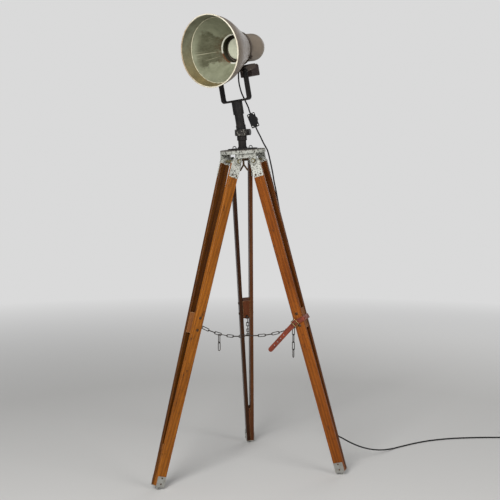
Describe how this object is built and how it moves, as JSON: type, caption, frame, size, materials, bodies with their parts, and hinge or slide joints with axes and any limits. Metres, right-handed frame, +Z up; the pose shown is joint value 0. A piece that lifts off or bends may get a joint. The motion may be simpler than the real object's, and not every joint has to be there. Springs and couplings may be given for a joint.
{
  "type": "tripod spotlight floor lamp",
  "caption": "Floor lamp with a spun reflector spotlight in a tilting yoke, on a wooden twin-rail tripod with spreader chain, leather strap, mains lead and in-line dimmer.",
  "frame": {"origin": "on the floor, midway between the outermost feet in both directions", "axes": "+Z up; the pictured side faces -Y, the lead leaves the right leg towards +X"},
  "size_m": [1.5911, 0.8221, 1.7469],
  "materials": {
    "rail_wood": "varnished, worn",
    "block_wood": "varnished, worn",
    "bracket_casting": "cast, paint worn off",
    "head_casting": "cast, paint worn off",
    "hinge_bar": "aged",
    "fastener_steel": "aged",
    "shoe_steel": "satin",
    "chain_steel": "aged",
    "rusty_steel": "rusted",
    "black_steel": "satin black, worn",
    "black_plastic": "satin",
    "wheel_plastic": "ribbed",
    "lamp_paint": "weathered",
    "rim_paint": "worn enamel",
    "liner_paint": "weathered",
    "neck_paint": "chipped enamel",
    "holder_ceramic": "glazed",
    "bulb_glass": "frosted",
    "bracket_paint": "weathered",
    "box_paint": "weathered",
    "cord_rubber": "matte",
    "screw_steel": "satin",
    "brass": "aged",
    "strap_leather": "oiled, creased"
  },
  "bodies": {
    "stand": {"head_casting": "head_casting", "hinge_bolts": "hinge_bar", "top_flange": "black_steel", "column": "black_steel", "clamp_collar": "black_steel", "cord_link": "cord_rubber", "cord_leg": "cord_rubber", "cord_floor": "cord_rubber", "cord_coil": "cord_rubber", "dimmer_base": "black_plastic", "dimmer_cover": "black_plastic", "dimmer_screws": "screw_steel", "plug_body": "black_plastic", "plug_pins": "brass"},
    "wing_screw": {"wing_screw": "rusty_steel"},
    "clamp_knob": {"clamp_knob": "black_plastic"},
    "dimmer_wheel": {"dimmer_wheel": "wheel_plastic"},
    "left_leg": {"left_rails": "rail_wood", "left_brackets": "bracket_casting", "left_blocks": "block_wood", "left_fasteners": "fastener_steel", "left_shoe": "shoe_steel", "left_eye": "chain_steel"},
    "right_leg": {"right_rails": "rail_wood", "right_brackets": "bracket_casting", "right_blocks": "block_wood", "right_fasteners": "fastener_steel", "right_shoe": "shoe_steel", "right_eye": "chain_steel", "cord_clips": "cord_rubber", "strap_loop": "strap_leather"},
    "strap_tail": {"strap_tail": "strap_leather", "strap_buckle": "brass"},
    "back_leg": {"back_rails": "rail_wood", "back_brackets": "bracket_casting", "back_blocks": "block_wood", "back_fasteners": "fastener_steel", "back_shoe": "shoe_steel", "back_eye": "chain_steel"},
    "left_chain": {"left_chain": "chain_steel"},
    "right_chain": {"right_chain": "chain_steel"},
    "back_chain": {"back_chain": "chain_steel"},
    "left_chain_tail": {"left_chain_tail": "chain_steel"},
    "right_chain_tail": {"right_chain_tail": "chain_steel"},
    "yoke": {"post": "black_steel", "yoke": "black_steel", "pivot_bolts": "black_steel", "cord_drop": "cord_rubber"},
    "lamp_head": {"reflector_shell": "lamp_paint", "rim_bead": "rim_paint", "reflector_liner": "liner_paint", "neck_ring": "neck_paint", "collar_band": "lamp_paint", "rear_housing": "lamp_paint", "lampholder": "holder_ceramic", "bulb": "bulb_glass", "saddle": "bracket_paint", "terminal_box": "box_paint", "box_cover": "box_paint", "strain_relief": "cord_rubber"}
  },
  "joints": [
    {"name": "lamp_turn", "type": "hinge", "parent": "stand", "child": "yoke", "pos_m": [-0.03443, -0.06405, 1.25], "axis": [-0.0628, -0.0366, 0.9974], "range_deg": [-90, 90], "deforming": ["cord_link"]},
    {"name": "lamp_tilt", "type": "hinge", "parent": "yoke", "child": "lamp_head", "pos_m": [-0.07442, -0.07462, 1.53828], "axis": [0.7892, -0.6048, 0.1071], "range_deg": [-50, 45], "deforming": ["cord_drop"]},
    {"name": "wing_screw_turn", "type": "hinge", "parent": "stand", "child": "wing_screw", "pos_m": [-0.03443, -0.06405, 1.25], "axis": [-0.0628, -0.0366, 0.9974], "continuous": true},
    {"name": "clamp_knob_turn", "type": "hinge", "parent": "stand", "child": "clamp_knob", "pos_m": [-0.03848, -0.06641, 1.31433], "axis": [0.9402, -0.3374, 0.0468], "continuous": true},
    {"name": "dimmer_wheel_turn", "type": "hinge", "parent": "stand", "child": "dimmer_wheel", "pos_m": [0.0116, -0.05205, 1.36343], "axis": [0, 1, 0], "continuous": true},
    {"name": "left_leg_fold", "type": "hinge", "parent": "stand", "child": "left_leg", "pos_m": [-0.07951, -0.10027, 1.20372], "axis": [0.6199, -0.7846, 0.0103], "range_deg": [0, 20.25]},
    {"name": "right_leg_fold", "type": "hinge", "parent": "stand", "child": "right_leg", "pos_m": [0.02481, -0.08509, 1.21085], "axis": [0.3674, 0.9283, 0.0572], "range_deg": [0, 12.02], "deforming": ["cord_leg"]},
    {"name": "back_leg_fold", "type": "hinge", "parent": "stand", "child": "back_leg", "pos_m": [-0.04069, -0.00219, 1.20976], "axis": [-0.9873, -0.1437, -0.0674], "range_deg": [0, 13.09]},
    {"name": "left_chain_swing", "type": "hinge", "parent": "left_leg", "child": "left_chain", "pos_m": [-0.1858, -0.19238, 0.58212], "axis": [0.6199, -0.7846, 0.0103], "range_deg": [-112, 0]},
    {"name": "right_chain_swing", "type": "hinge", "parent": "right_leg", "child": "right_chain", "pos_m": [0.15884, -0.09839, 0.56547], "axis": [0.3674, 0.9283, 0.0572], "range_deg": [-69, 0]},
    {"name": "back_chain_swing", "type": "hinge", "parent": "back_leg", "child": "back_chain", "pos_m": [-0.01631, 0.13286, 0.56493], "axis": [-0.9873, -0.1437, -0.0674], "range_deg": [-93, 0]},
    {"name": "left_chain_tail_swing", "type": "hinge", "parent": "left_chain", "child": "left_chain_tail", "pos_m": [-0.12403, -0.14202, 0.54668], "axis": [0.6199, -0.7846, 0.0103], "range_deg": [0, 57]},
    {"name": "right_chain_tail_swing", "type": "hinge", "parent": "right_leg", "child": "right_chain_tail", "pos_m": [0.16144, -0.09493, 0.56602], "axis": [0.3674, 0.9283, 0.0572], "range_deg": [-13, 0]},
    {"name": "strap_tail_swing", "type": "hinge", "parent": "right_leg", "child": "strap_tail", "pos_m": [0.16456, -0.14004, 0.58979], "axis": [0.3674, 0.9283, 0.0572], "range_deg": [-58, 0]}
  ],
  "couplings": [
    {"joint": "left_chain_swing", "follows": "left_leg_fold", "ratio": -5.4},
    {"joint": "right_chain_swing", "follows": "right_leg_fold", "ratio": -5.5},
    {"joint": "back_chain_swing", "follows": "back_leg_fold", "ratio": -6.85},
    {"joint": "left_chain_tail_swing", "follows": "left_leg_fold", "ratio": 2.7},
    {"joint": "right_chain_tail_swing", "follows": "right_leg_fold", "ratio": -1},
    {"joint": "strap_tail_swing", "follows": "right_leg_fold", "ratio": -4.6}
  ]
}
